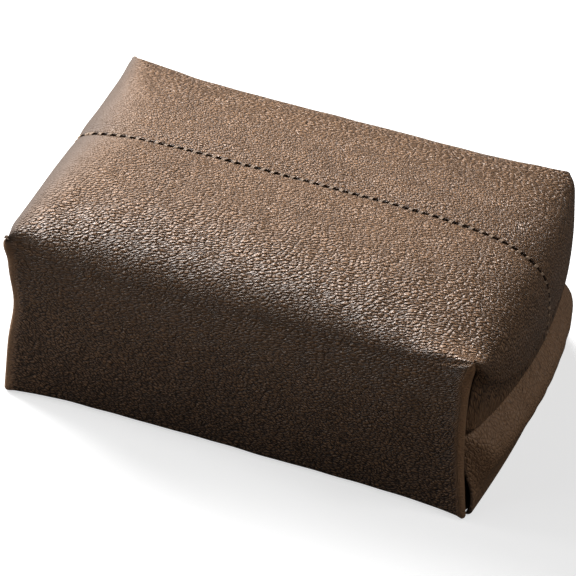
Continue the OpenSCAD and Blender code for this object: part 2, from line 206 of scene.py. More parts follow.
def leather_piece(name, P, cells=None, edge=None, t=LEATHER_T, flip=False, shift=None, flat=None, **values):
    """A cut piece of leather: an outer and an inner grid a thickness apart, closed round the border.

    P is the outer grid in mm, cells says which of its cells exist, edge is each point's distance from a cut edge:
    within half a thickness of it both faces draw together in a half circle. flat is each point's place on the
    unrolled hide, for the grain; where it isn't given it is the arc length both ways. Values become attributes."""
    rows, cols = P.shape[:2]
    cells = np.ones((rows - 1, cols - 1), bool) if cells is None else cells
    if flat is None:
        flat = np.stack([run_length(P, 1), run_length(P, 0) + 150], -1)
    N = normals_of(P, cells) * (-1 if flip else 1)
    if shift is not None:
        P = P + N * shift[..., None]
        N = normals_of(P, cells) * (-1 if flip else 1)
    d = np.full(P.shape[:2], FAR) if edge is None else edge
    draw = t / 2 - np.sqrt(np.maximum((t / 2) ** 2 - np.maximum(t / 2 - d, 0) ** 2, 0))
    outer, inner = P - N * draw[..., None], P - N * (t - draw)[..., None]
    index = np.arange(rows * cols).reshape(rows, cols)
    a, b, c, e = (index[s][cells] for s in (np.s_[:-1, :-1], np.s_[1:, :-1], np.s_[1:, 1:], np.s_[:-1, 1:]))
    face = np.stack([a, e, c, b] if flip else [a, b, c, e], -1)
    lower = face[:, ::-1] + rows * cols
    pad = np.pad(cells, 1)
    strips = []
    for before, after, p, q in ((pad[:-1, 1:-1], pad[1:, 1:-1], index[:, :-1], index[:, 1:]),
                                (pad[1:-1, 1:], pad[1:-1, :-1], index[:-1, :], index[1:, :])):
        for on, off, u, v in ((before, after, p, q), (after, before, q, p)):
            k = on & ~off
            u, v = u[k], v[k]
            u, v = (v, u) if flip else (u, v)
            strips.append(np.stack([v, u, u + rows * cols, v + rows * cols], -1))
    faces = np.concatenate([face, lower, *strips])
    co = np.concatenate([outer.reshape(-1, 3), inner.reshape(-1, 3)]) * 0.001 + (middle_x, 0, 0)
    used = np.unique(faces)
    where = np.zeros(len(co), int)
    where[used] = np.arange(len(used))
    mesh = bpy.data.meshes.new(name)
    mesh.from_pydata(co[used].tolist(), [], where[faces].tolist())
    values = dict(values, cut=np.clip(1 - d / (0.8 * t), 0, 1))
    for key, value in values.items():
        value = np.broadcast_to(value, P.shape[:2]).ravel()
        layer = mesh.attributes.new(key, "FLOAT", "POINT")
        layer.data.foreach_set("value", np.concatenate([value, value])[used].astype(np.float32))
    side = np.zeros(len(faces), np.int32)
    side[len(face):2 * len(face)] = 1
    mesh.polygons.foreach_set("material_index", side)
    mesh.polygons.foreach_set("use_smooth", np.ones(len(faces), bool))
    corner = np.empty(len(mesh.loops), np.int32)
    mesh.loops.foreach_get("vertex_index", corner)
    place = np.tile(flat.reshape(-1, 2), (2, 1))[used] * 0.001
    mesh.uv_layers.new(name="hide").data.foreach_set("uv", place[corner].astype(np.float32).ravel())
    merge_points(mesh)
    mesh.set_sharp_from_angle(angle=np.radians(62))
    return add_object(name, mesh)


def add_object(name, data):
    """A new object in the scene that shows a mesh, lamp or camera."""
    added = bpy.data.objects.new(name, data)
    bpy.context.scene.collection.objects.link(added)
    return added


def merge_points(mesh):
    """Points nearer than two thousandths of a millimetre become one, and faces without area go."""
    bm = bmesh.new()
    bm.from_mesh(mesh)
    bmesh.ops.remove_doubles(bm, verts=bm.verts, dist=2e-6)
    bmesh.ops.dissolve_degenerate(bm, edges=bm.edges, dist=1e-8)
    bm.to_mesh(mesh)
    bm.free()


def even_shares(power, half, rise, start, stop, count):
    """Shares from start to stop at equal steps of arc length along the curve (half s, rise rounded(s))."""
    s = 1 - (1 - np.linspace(0, 1, 4001)) ** 4
    line = np.cumsum(np.hypot(np.diff(half * s, prepend=0), np.diff(rise * rounded(s, power), prepend=0)))
    a, b = np.interp([start, stop], s, line)
    return np.interp(np.linspace(a, b, count), line, s)


# Distances from a cut edge at which its half round gets its rows, in mm: first at the seam, then elsewhere
edge_rows = np.array([0, 0.03, 0.12, 0.3, 0.55])
cut_rows = np.array([0, 0.03, 0.12, 0.3, 0.6])
seam_half = 0.34
seam_rows = (seam_half + np.concatenate([edge_rows, [0.85]])) / HALF_TOP
across = np.concatenate([seam_rows, even_shares(3.1, 64, 17, 0.02, 1, 62)])
down = np.concatenate([1 - np.array([0.5, 1.0, 1.5, 2.1, 2.8, 3.6, 4.6]) / 87, np.linspace(0.935, 0, 58)])
hem_turns = np.radians([15, 30, 45, 60, 75, 90])
near_fold = 1 - np.array([0, 0.4, 1.0, 1.8, 2.8]) / 105
columns = np.linspace(0, FOLD_SHARE * near_fold[-1], 88)
rim_arcs = 1 + np.linspace(0, 1, 13)[1:]
columns = np.concatenate([columns, FOLD_SHARE * near_fold[-2::-1], np.linspace(FOLD_SHARE, 1, 9)[1:], rim_arcs])
columns = np.concatenate([-columns[:0:-1], columns])


def grain_on_top(P, sy):
    """Grain strength: 0 where the left end is stretched smooth, wider at the seam than at the front, 1 elsewhere."""
    reach = 4 + 34 * (1 - np.abs(sy) ** 1.5)
    return smooth((P[..., 0] + 101) / reach)


def seam_share(side, sy):
    """Share of the large grain: about half along the seam, all of it from 0.8 of the depth outward."""
    return mix(0.5 if side > 0 else 0.65, 1, smooth((sy - 0.3) / 0.5))


def seam_lip(side, sy):
    """Ridge beside the seam: 0.42 mm high on the back half and 0.1 mm on the front half."""
    high, middle, width = (0.42, 1.5, 0.9) if side > 0 else (0.1, 1.2, 1.2)
    return high * hump(sy * HALF_TOP, middle, width)


def long_leather(side):
    """Half of the top and one long wall as one grid; the cells past the fold share exist on the wall only."""
    c, s = np.meshgrid(columns, across, indexing="xy")
    top = crown(np.clip(c, -1, 1), side * s)
    top[..., 2] += seam_lip(side, s)
    cw, w = np.meshgrid(columns, down, indexing="xy")
    side_wall = wall(cw, w, 0 * w, side)
    ch, turn = np.meshgrid(columns, hem_turns, indexing="xy")
    hem = wall(ch, 0 * turn, turn, side)
    P = ear_form(np.concatenate([top, side_wall, hem]))
    middle = len(columns) // 2
    flat = np.stack([run_length(P, 1) - run_length(P, 1)[:, middle:middle + 1], -side * run_length(P, 0)], -1)
    thick = np.full(P.shape[:2], LEATHER_T)
    rim_t = np.minimum(LEATHER_T, 0.7 * rim_radius(np.concatenate([down, 0 * hem_turns]))[:, None] + 0.02)
    thick[len(across):] = np.where(np.abs(columns) > 1, rim_t, LEATHER_T)
    cells = np.ones((P.shape[0] - 1, P.shape[1] - 1), bool)
    outside = np.abs((columns[1:] + columns[:-1]) / 2) > FOLD_SHARE
    cells[:len(across) - 1, outside] = False
    edge = np.full(P.shape[:2], FAR)
    edge[:len(across)] = (s * HALF_TOP - seam_half) * 1.6
    rim = (2 - np.abs(columns)) * 2.0 * RIM_TURN
    at_ear = np.concatenate([40 * smooth((down - 0.88) / 0.1), 0 * hem_turns])[:, None]
    edge[len(across):] = np.where(np.abs(columns) >= 1, rim + at_ear, FAR)
    on_wall = np.zeros(P.shape[:2])
    on_wall[len(across):len(across) + len(down)] = 1 - w
    on_wall[len(across) + len(down):] = 1
    half_x = np.abs(P[..., 0])
    pinch = ear_pinch(P, EAR_L / 2 - half_x, EAR_H) * (on_wall > 0) * smooth(on_wall * 12)
    sy = np.ones(P.shape[:2])
    sy[:len(across)] = s
    smooth_end = mix(grain_on_top(P, sy), 1, smooth(on_wall * 14))
    height = P[..., 2]
    coarse = mix(mix(0.45, 1, smooth((height - 46) / 34)), 1, on_wall == 0)
    coarse = coarse * seam_share(side, sy)
    rolled = smooth((np.abs(np.broadcast_to(columns, P.shape[:2])) - 0.955) / 0.05) * (on_wall > 0)
    return leather_piece("front_leather" if side < 0 else "back_leather", P, cells, edge, t=thick, flip=side > 0,
                         shift=soft_folds(P) + pinch, flat=flat,
                         coarse=coarse * smooth_end * (1 - 0.85 * rolled),
                         fine=mix(1, 0.36, coarse) * mix(0.1, 1, smooth_end) * (1 - 0.7 * rolled),
                         stretch=(1 - smooth_end) * (1 - on_wall), low=on_wall)


front_leather = long_leather(-1)
back_leather = long_leather(1)


class Value:
    """A shader socket that is used in sums: an expression on it adds the Math nodes."""

    def __init__(self, tree, socket):
        self.tree, self.socket = tree, socket

    def node(self, kind, settings=None, out=0, **inputs):
        """Any node: its settings, then a value or link for each input, by number (i0) or name (_ for a space)."""
        n = self.tree.nodes.new(kind)
        for key, value in (settings or {}).items():
            setattr(n, key, value)
        for key, value in inputs.items():
            numbered = key[0] == "i" and key[1:].isdigit()
            self.put(n.inputs[int(key[1:])] if numbered else n.inputs[key.replace("_", " ")], value)
        return Value(self.tree, n.outputs[out])

    def put(self, socket, value):
        """A link into a socket from a Value, or else a constant; three numbers for a colour get alpha 1."""
        if isinstance(value, Value):
            self.tree.links.new(value.socket, socket)
        else:
            socket.default_value = (*value, 1) if socket.type == "RGBA" else value

    def sum(self, operation, *values):
        """A Math node on these values."""
        return self.node("ShaderNodeMath", {"operation": operation}, **{f"i{i}": v for i, v in enumerate(values)})

    def __add__(self, other):
        return self.sum("ADD", self, other)

    def __radd__(self, other):
        return self.sum("ADD", other, self)

    def __sub__(self, other):
        return self.sum("SUBTRACT", self, other)

    def __rsub__(self, other):
        return self.sum("SUBTRACT", other, self)

    def __mul__(self, other):
        return self.sum("MULTIPLY", self, other)

    def __rmul__(self, other):
        return self.sum("MULTIPLY", other, self)

    def ease(self, low, high):
        """Smooth step from 0 at low to 1 at high."""
        return self.node("ShaderNodeMapRange", {"interpolation_type": "SMOOTHSTEP"}, Value=self, From_Min=low,
                         From_Max=high)

    def attribute(self, name):
        """A number that the mesh carries at each point."""
        return self.node("ShaderNodeAttribute", {"attribute_name": name}, out=2)

    def blend(self, a, b):
        """Mix of colours a and b by this value."""
        return self.node("ShaderNodeMix", {"data_type": "RGBA"}, out=2, i0=self, i6=a, i7=b)


def new_material(name, **constants):
    """A material with its shader's constants set; returns it, its shader node and a Value to build on."""
    material = bpy.data.materials.new(name)
    material.use_nodes = True
    shader = material.node_tree.nodes["Principled BSDF"]
    for key, value in constants.items():
        shader.inputs[key.replace("_", " ")].default_value = value
    return material, shader, Value(material.node_tree, shader.outputs[0])


def feed(start, shader, **inputs):
    """Links each value into the shader's input of that name (_ for a space)."""
    for key, value in inputs.items():
        start.tree.links.new(value.socket, shader.inputs[key.replace("_", " ")])


def pebbles(k, hide, size, long, turn, fullness):
    """Domed cells: Voronoi cells of a size in mm, drawn long and turned.

    Dome = 1 - (1 - border distance / fullness)^2."""
    laid = k.node("ShaderNodeMapping", {"vector_type": "TEXTURE"}, Vector=hide, Rotation=(0.0, 0.0, turn),
                  Scale=(size * long * 0.001, size / long * 0.001, 1.0))
    cells = {"voronoi_dimensions": "2D"}
    border = k.node("ShaderNodeTexVoronoi", {"feature": "DISTANCE_TO_EDGE", **cells}, Vector=laid, Scale=1.0)
    cell = k.node("ShaderNodeTexVoronoi", {"feature": "F1", **cells}, out=1, Vector=laid, Scale=1.0)
    hollow = 1 - border.sum("MINIMUM", border * (1 / fullness), 1.0)
    return 1 - hollow * hollow, k.node("ShaderNodeSeparateColor", Color=cell)


def leather_finish(name, light, dark, stretched):
    """Milled leather: large domed pebbles drawn long over the shoulders, small slanted ones elsewhere.

    Height = coarse share x large dome + fine share x small dome + wrinkles; valleys are duller and carry painted
    shade, more of it on the walls."""
    material, shader, k = new_material(name, IOR=1.6)
    place = k.node("ShaderNodeTexCoord", out=3)
    hide = k.node("ShaderNodeUVMap", {"uv_map": "hide"})
    coarse, fine, cut = k.attribute("coarse"), k.attribute("fine"), k.attribute("cut")
    stretch, low = k.attribute("stretch"), k.attribute("low")
    bent, on_hide = hide, {"noise_dimensions": "2D"}
    for scale, detail, shift in ((70.0, 1.0, 0.0035), (420.0, 2.0, 0.0006)):
        drift = k.node("ShaderNodeTexNoise", on_hide, out=1, Vector=hide, Scale=scale, Detail=detail)
        bent = k.node("ShaderNodeVectorMath", {"operation": "MULTIPLY_ADD"}, i0=drift,
                      i1=(shift, shift, 0.0), i2=bent)
    pebble, level = pebbles(k, bent, 1.9, 1.55, -0.25, 0.46)
    crumb, small_level = pebbles(k, bent, 1.3, 1.3, 0.55, 0.44)
    net, net_level = pebbles(k, bent, 1.65, 1.3, 0.3, 0.44)
    crumb, net = crumb * (0.7 + 0.3 * small_level), net * (0.7 + 0.3 * net_level)
    crumb = crumb + (net - crumb) * k.sum("MINIMUM", low * 5, 1.0)
    pores = k.node("ShaderNodeTexNoise", Vector=place, Scale=2300.0, Detail=3.0, Roughness=0.65)
    patches = k.node("ShaderNodeTexNoise", Vector=place, Scale=22.0, Detail=4.0, Roughness=0.6)
    pebble = pebble * (0.72 + 0.28 * level)
    laid = k.node("ShaderNodeMapping", {"vector_type": "TEXTURE"}, Vector=bent, Rotation=(0.0, 0.0, -0.25),
                  Scale=(0.0028, 0.0015, 1.0))
    wrinkles = k.node("ShaderNodeTexNoise", on_hide, Vector=laid, Scale=1.0, Detail=2.0)
    height = pebble * coarse * 0.8 + crumb * fine * 0.5 + wrinkles * (coarse + fine) * 0.5 + pores * 0.05
    bump = k.node("ShaderNodeBump", Height=height, Distance=0.0019, Strength=1.0)
    # Painted shade: the colour darkens in the grain's valleys, and more on the walls, where the soft light gives the
    # relief little shading of its own.
    valley = (1 - pebble) * coarse * 0.5 + (1 - crumb) * fine * 1.1
    tone = (patches - 0.5) * 0.3 + 1.02 - valley * (0.95 + 0.5 * low)
    tone = tone + (wrinkles - 0.5) * (0.5 + 1.6 * low) * fine
    colour = tone.ease(-0.1, 0.85).blend(dark, light)
    # The smooth stretched zone at the left end takes its own colour. Its darkness is partly painted shade, which
    # holds the zone down where the key lamp falls strongly.
    colour = stretch.blend(colour, stretched)
    colour = (cut * 0.75).blend(colour, (dark[0] * 0.5, dark[1] * 0.45, dark[2] * 0.45))
    rough = 0.32 + valley * 0.3 + (pores - 0.5) * 0.14 + low * 0.34 + stretch * 0.42
    feed(k, shader, Base_Color=colour, Roughness=rough, Normal=bump)
    return material


def suede_finish(name, light, dark):
    """The hide's flesh side: short matted fibres, two noises of different size."""
    material, shader, k = new_material(name, IOR=1.35)
    place = k.node("ShaderNodeTexCoord", out=3)
    fibre = k.node("ShaderNodeTexNoise", Vector=place, Scale=1500.0, Detail=4.0, Roughness=0.7)
    cloud = k.node("ShaderNodeTexNoise", Vector=place, Scale=60.0, Detail=3.0)
    bump = k.node("ShaderNodeBump", Height=fibre, Distance=0.0004, Strength=0.8)
    feed(k, shader, Base_Color=(fibre * 0.6 + cloud * 0.6 - 0.1).ease(0.2, 0.8).blend(dark, light),
         Roughness=0.82 + (fibre - 0.5) * 0.2, Normal=bump)
    return material


# The last colour belongs to the stretched smooth zone. It is kept dark partly as painted shade against the key lamp.
hide = leather_finish("milled_leather", (0.3, 0.166, 0.086), (0.045, 0.021, 0.01), (0.066, 0.04, 0.025))
suede = suede_finish("flesh_side", (0.24, 0.17, 0.12), (0.13, 0.09, 0.062))


def finish_piece(piece, node, finishes=(hide, suede), body=None):
    """Finishes and slot of a piece, the CAD node that it replaces, and its body when one is given."""
    for finish in finishes:
        piece.data.materials.append(finish)
    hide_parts(node)
    if body:
        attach(piece, body)


finish_piece(front_leather, "front_panel", body="cover")
finish_piece(back_leather, "back_panel", body="cover")

# Seam tape. A narrow woven ribbon is glued and sewn behind the meeting edges of the two halves.
# It closes the gap between them from the inside.
tape_half, tape_t, tape_depth = 5.0, 0.5, LEATHER_T + 0.1


def woven_finish(name, light, dark):
    """Plain weave: two crossed waves of threads, one standing up where the other goes under."""
    material, shader, k = new_material(name, IOR=1.4)
    place = k.node("ShaderNodeTexCoord", out=3)
    warp, weft = (k.node("ShaderNodeTexWave", {"bands_direction": way}, out=1, Vector=place, Scale=65.0)
                  for way in "XY")
    fuzz = k.node("ShaderNodeTexNoise", Vector=place, Scale=1800.0, Detail=2.0)
    height = warp * 0.5 + weft * 0.5 + fuzz * 0.2
    bump = k.node("ShaderNodeBump", Height=height, Distance=0.0002, Strength=0.8)
    feed(k, shader, Base_Color=height.ease(0.2, 1.0).blend(dark, light), Roughness=0.75 + fuzz * 0.15, Normal=bump)
    return material


def strip(face, depth, t, name, round_edge=True):
    """A thin strip behind a leather face: the face's own points, moved in by a depth along their normals.

    The face's outer side is the one that looks away from the cover's middle, 45 mm above the table."""
    N = normals_of(face, np.ones((face.shape[0] - 1, face.shape[1] - 1), bool))
    centre = face.shape[0] // 2, face.shape[1] // 2
    flip = N[centre] @ (face[centre] - (0, 0, 45)) < 0
    P = face - (-N if flip else N) * depth
    rows, cols = run_length(P, 0), run_length(P, 1)
    edge = np.minimum(np.minimum(rows, rows[-1:] - rows), np.minimum(cols, cols[:, -1:] - cols))
    return leather_piece(name, P, None, edge if round_edge else None, t=t, flip=flip,
                         coarse=0.2, fine=0.8, stretch=0.0, low=0.0)


def with_edges(low, high, count):
    """Even steps from low to high, with the rows of the half round added at both ends."""
    e = edge_rows[1:4]
    return np.concatenate([[low], low + e, np.linspace(low + 0.5, high - 0.5, count), high - e[::-1], [high]])


ribbon = woven_finish("tape_weave", (0.085, 0.06, 0.05), (0.03, 0.021, 0.017))
tape_y = with_edges(-tape_half, tape_half, 8)
x, y = np.meshgrid(with_edges(-FOLD_SHARE * 104, FOLD_SHARE * 104, 60), tape_y, indexing="xy")
seam_tape = strip(crown(x / 105, y / (EAR_D / 2 - 4)), tape_depth, tape_t, "seam_tape")
finish_piece(seam_tape, "top_seam_tape", (ribbon, ribbon), "cover")

# Seam stitches. Waxed thread crosses the gap in a slanted bar at each pitch of 4.4 mm.
# Each bar is three turns of thread that lie side by side and pull the two edges together.
pitch, bar_half, strand_r = 4.4, 1.15, 0.3
strand_rings, strand_sides = 7, 6
strand_u = np.linspace(-1, 1, strand_rings)[None, :, None]
strand_v = (np.arange(strand_sides) / strand_sides * 2 * np.pi)[None, None, :]


def thread_bars(name, centres, forward, up, slant=0.42):
    """Bars of three strands: each strand is a half torus over the gap, a circle carried along an arc."""
    side = np.cross(up, forward)
    strands = []
    for k, offset in enumerate((-0.52, 0.0, 0.52)):
        thick = strand_r * (1 + 0.06 * np.sin(k * 2.1 + np.arange(len(centres))))[:, None, None]
        across_mm = bar_half * strand_u + 0 * strand_v
        rise = 0.34 * (1 - strand_u ** 2) - 0.34 * np.abs(strand_u) ** 3
        along_mm = offset + slant * across_mm
        strands.append(centres[:, None, None]
                       + forward[:, None, None] * (along_mm + thick * np.cos(strand_v))[..., None]
                       + side[:, None, None] * across_mm[..., None]
                       + up[:, None, None] * (rise + thick * np.sin(strand_v))[..., None])
    return strand_object(name, np.concatenate(strands))


def strand_object(name, strands):
    """An object of strands, each a tube of strand_rings rings of strand_sides points, closed at both ends."""
    ring = np.arange(strand_rings * strand_sides).reshape(strand_rings, strand_sides)
    turned = np.roll(ring, -1, 1)
    quads = np.stack([ring[:-1], turned[:-1], turned[1:], ring[1:]], -1).reshape(-1, 4)
    mesh = bpy.data.meshes.new(name)
    mesh.from_pydata((strands.reshape(-1, 3) * 0.001 + (middle_x, 0, 0)).tolist(), [],
                     (np.arange(len(strands))[:, None, None] * ring.size + quads[None]).reshape(-1, 4).tolist())
    close_ends(mesh)
    mesh.polygons.foreach_set("use_smooth", np.ones(len(mesh.polygons), bool))
    return add_object(name, mesh)


def close_ends(mesh):
    """Each open ring of a strand gets its end face, and all faces are turned outward."""
    bm = bmesh.new()
    bm.from_mesh(mesh)
    bmesh.ops.holes_fill(bm, edges=[e for e in bm.edges if e.is_boundary], sides=8)
    bmesh.ops.recalc_face_normals(bm, faces=bm.faces)
    bm.to_mesh(mesh)
    bm.free()


def thread_finish(name, light, dark):
    """Twisted waxed thread: a fine slanted wave for the twist and a slow noise for the wax."""
    material, shader, k = new_material(name, IOR=1.5)
    place = k.node("ShaderNodeTexCoord", out=3)
    twist = k.node("ShaderNodeTexWave", {"bands_direction": "DIAGONAL"}, out=1, Vector=place, Scale=190.0)
    cloud = k.node("ShaderNodeTexNoise", Vector=place, Scale=300.0, Detail=2.0)
    bump = k.node("ShaderNodeBump", Height=twist, Distance=0.0001, Strength=0.6)
    feed(k, shader, Base_Color=(twist * 0.5 + cloud * 0.6).ease(0.2, 0.9).blend(dark, light),
         Roughness=0.45 + cloud * 0.15, Normal=bump)
    return material


def along_curve(line, start, step):
    """Points and directions at even steps of arc length along a line of points."""
    s = np.concatenate([[0], np.cumsum(np.linalg.norm(np.diff(line, axis=0), axis=1))])
    at = np.arange(start, s[-1] - 1.0, step)
    p = np.stack([np.interp(at, s, line[:, i]) for i in range(3)], -1)
    q = np.stack([np.interp(at + 0.2, s, line[:, i]) for i in range(3)], -1)
    f = (q - p) / np.linalg.norm(q - p, axis=1, keepdims=True)
    return p, f


thread = thread_finish("waxed_thread", (0.4, 0.28, 0.19), (0.22, 0.145, 0.095))
sx = np.linspace(-FOLD_SHARE, FOLD_SHARE, 800)
seam_line = crown(sx, 0 * sx)
p, f = along_curve(seam_line, 1.3, pitch)
up = np.stack([-f[:, 2], 0 * f[:, 0], f[:, 0]], -1)
finish_piece(thread_bars("seam_stitches", p, f, up), "top_seam_thread", (thread,), "cover")

# Base panel. One flat piece of the same hide closes the underside between the two bottom folds.
# The tissues are drawn out through the slot in its middle.
outlet_half_straight, outlet_r = 58.0, 12.0


def outlet_path(count_straight=30, count_arc=24):
    """The slot's middle line and its outward direction, once round: two straights and two half turns."""
    a = np.linspace(-np.pi / 2, np.pi / 2, count_arc + 1)
    corner = np.arctan2(BASE_D / 2 - HEM_R - 0.08, BASE_L / 2 - HEM_R - outlet_half_straight)
    a = np.sort(np.concatenate([a, [corner, -corner]]))
    x = np.linspace(outlet_half_straight, -outlet_half_straight, count_straight)[1:-1]
    centre = np.concatenate([np.full(len(a), outlet_half_straight), x, np.full(len(a), -outlet_half_straight), -x,
                             [outlet_half_straight]])
    angle = np.concatenate([a, np.full(len(x), np.pi / 2), a + np.pi, np.full(len(x), -np.pi / 2), [a[0]]])
    return centre, angle


def foot_reach(end, y):
    """Half length of the base at its bottom fold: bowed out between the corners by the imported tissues."""
    bow = np.where(np.asarray(end) > 0, 5.2, 1.2)
    return BASE_L / 2 + 1.1 + bow * (1 - np.minimum(np.abs(y) / CORNER_Y, 1) ** 1.6)


centre_x, way = outlet_path()
out_x, out_y = np.cos(way), np.sin(way)
base_half_d = BASE_D / 2 - HEM_R - 0.08
room_y = base_half_d / np.maximum(np.abs(out_y), 1e-9)
to_edge = room_y
for _ in range(8):
    end_x = foot_reach(np.sign(out_x), to_edge * out_y) - HEM_R
    to_edge = np.minimum((end_x - np.sign(out_x) * centre_x) / np.maximum(np.abs(out_x), 1e-9), room_y)
share = np.concatenate([[0, 0.0006, 0.0024, 0.006, 0.012], np.linspace(0.03, 0.97, 22), [0.988, 0.994, 0.9976, 1]])
reach = outlet_r + (to_edge - outlet_r) * share[:, None]
base = np.stack([centre_x + out_x * reach, out_y * reach, 0 * reach], -1)
edge = np.minimum(reach - outlet_r, to_edge - reach)
base_leather = leather_piece("base_leather", base, None, edge, flip=True, flat=base[..., :2], coarse=0.35, fine=0.8,
                             stretch=0.0, low=0.6)
finish_piece(base_leather, "base_panel", body="cover")

# Stiff board. A grey pressed sheet lies loose on the base leather and keeps the underside flat.
# It keeps its CAD solid; only its fibres and its uneven grey are added.


def board_finish(name, light, dark):
    """Pressed board: long fibres in two directions and a slow cloud."""
    material, shader, k = new_material(name, IOR=1.4)
    place = k.node("ShaderNodeTexCoord", out=3)
    laid = k.node("ShaderNodeMapping", Vector=place, Scale=(0.25, 1.0, 1.0))
    fibre = k.node("ShaderNodeTexNoise", Vector=laid, Scale=1400.0, Detail=4.0)
    cloud = k.node("ShaderNodeTexNoise", Vector=place, Scale=70.0, Detail=3.0)
    bump = k.node("ShaderNodeBump", Height=fibre, Distance=0.0002, Strength=0.5)
    feed(k, shader, Base_Color=(fibre * 0.5 + cloud * 0.5).ease(0.25, 0.75).blend(dark, light),
         Roughness=0.8 + fibre * 0.1, Normal=bump)
    return material


def finish_node(node, material):
    """A CAD node keeps its mesh and gets a finish of its own in every slot."""
    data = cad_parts[node].data
    data.materials.clear()
    data.materials.append(material)


finish_node("base_board", board_finish("pressed_board", (0.36, 0.34, 0.31), (0.2, 0.185, 0.165)))

# Outlet edging. A flat leather band is sewn round the slot on the inner side of the base panel.
# It keeps the slot from stretching as tissues are drawn out.
edging_w, edging_t = 7.0, 0.9


def outlet_band(offset, z):
    """Points at a distance from the slot's edge and at a height, once round the slot."""
    reach = outlet_r + offset[:, None]
    return np.stack([centre_x + out_x * reach, out_y * reach, z[:, None] + 0 * out_x], -1)


offsets = np.concatenate([cut_rows, np.linspace(1, edging_w - 1, 8), edging_w - cut_rows[::-1]])
height = np.full_like(offsets, LEATHER_T + 0.08 + edging_t)
edging = leather_piece("outlet_edging_band", outlet_band(offsets, height), None,
                       np.broadcast_to(np.minimum(offsets, edging_w - offsets)[:, None],
                                       (len(offsets), len(centre_x))),
                       t=edging_t, flip=False, coarse=0.25, fine=0.8, stretch=0.0, low=0.5)
finish_piece(edging, "outlet_edging", body="cover")

# Outlet stitches. One row of the seam's waxed thread runs round the slot in the middle of the edging.
# Each stitch is a tube on a low arc, thinner at its ends, which go into the leather.
stitch_r, stitch_half, stitch_rise = 0.4, 1.3, 0.25
ring_line = outlet_band(np.array([edging_w / 2]), np.array([LEATHER_T + edging_t + stitch_rise]))[0]
p, f = along_curve(ring_line, 0.0, pitch)
up = np.tile([0.0, 0.0, 1.0], (len(p), 1))
r = stitch_r * (1 - 0.35 * strand_u ** 4)
lift = 0.12 * (1 - strand_u ** 2) - 0.35 * strand_u ** 6
stitches = (p[:, None, None] + f[:, None, None] * (stitch_half * strand_u + 0 * strand_v)[..., None]
            + np.cross(up, f)[:, None, None] * (r * np.cos(strand_v))[..., None]
            + up[:, None, None] * (lift + r * np.sin(strand_v))[..., None])
finish_piece(strand_object("outlet_stitches", stitches), "outlet_thread", (thread,), "cover")

# Upper flaps. Each end of the top goes on over the shoulder as a tongue in two halves and hangs to mid height.
# Its free edge is turned and rounded, and its side edges dive behind the rolled rims of the long walls.
UPPER_EDGE_H, UPPER_CURL, flap_edge_y = 42.0, 3.6, 60.0
tape_down = {1: 0.12, -1: 0.7}  # how far down the hanging flap its tape goes, as a share


def end_reach(end, sy, z):
    """An end's outer skin below the shoulder: the swollen half length, curling in as the square of the way down."""
    down = (SHOULDER_H[end] - z) / (SHOULDER_H[end] - UPPER_EDGE_H)
    return half_length(end, sy) - UPPER_CURL * down * np.maximum(0, down)


def flap_face(end, q, row):
    """Upper flap: row 0 to 1 goes over the shoulder, 1 to 2 hangs down; q runs from the seam to the side.

    The side edge follows the shoulder's own curve down from the ear's tip until it is 60 mm from the middle, and
    then hangs straight; the sheet between is the straight mix of shoulder and foot, moved with it as |q|^12."""
    over = crown(end * mix(FOLD_SHARE, 1, np.minimum(row, 1)), q)
    down = np.clip(row - 1, 0, 1)
    rim = crown(end * np.ones_like(q), q)
    tip = crown(end * np.ones_like(q), np.sign(q))[..., 2]
    share = np.clip((mix(tip, UPPER_EDGE_H, down) - SHOULDER_H[end]) / (tip - SHOULDER_H[end]), 0, 1)
    inset = 0.3 * smooth(down / 0.05)
    side_y = np.maximum(EAR_D / 2 * share ** 0.25 + inset, flap_edge_y) - inset
    straight = mix(EAR_D / 2, flap_edge_y, down)
    y = q * straight + np.sign(q) * (side_y - straight) * np.abs(q) ** 12
    z = mix(rim[..., 2], UPPER_EDGE_H, down)
    x = hang_reach(end, y, down) - edge_curl(down, side_y - np.abs(y))
    y = y - np.sign(q) * (EAR_D / 2 * np.abs(q) - np.abs(rim[..., 1])) * (1 - smooth(down / 0.12))
    return np.where((row <= 1)[..., None], over, np.stack([end * x, y, z], -1))


def hang_reach(end, y, down):
    """A hanging flap's skin: the swell flattens from |sy|^3.3 to |sy|^2.4, and the foot curls in as down squared."""
    s = np.abs(y) / (EAR_D / 2)
    round_off = mix(s ** 3.3, s ** 2.4, smooth(down / 0.4))
    belly = 0.8 * np.sin(np.pi * down) * (1 - s ** 2) - 1.6 * np.sin(np.pi * down) * s ** 6
    return EAR_L / 2 + SWELL[end] * (1 - round_off) - UPPER_CURL * down ** 2 - 0.5 * down + belly


def edge_curl(down, to_side):
    """The flap's side edge turns in 2.8 mm over its last 3.4 mm, from just below the ear."""
    return 2.8 * smooth(down / 0.08) * smooth(1 - to_side / 3.4)


flap_q = np.concatenate([seam_rows, even_shares(3.1, 64, 17, 0.02, 1, 62)[:-1], 1 - cut_rows[::-1] / HALF_TOP])
flap_q = np.unique(np.round(flap_q, 6))
over_rows = (even_shares(3.8, 112, 34, FOLD_SHARE, 1, 30) - FOLD_SHARE) / (1 - FOLD_SHARE)
hang_rows = {1: np.concatenate([np.linspace(0.02, 0.93, 34), 1 - np.array([0.05, 0.03, 0.018, 0.006, 0.0015, 0])]),
             -1: np.concatenate([np.linspace(0.02, 0.95, 46), 1 - np.array([0.03, 0.016, 0.009, 0.003, 0.0008, 0])])}
ends = (1, "right"), (-1, "left")
halves = (-1, "front"), (1, "back")

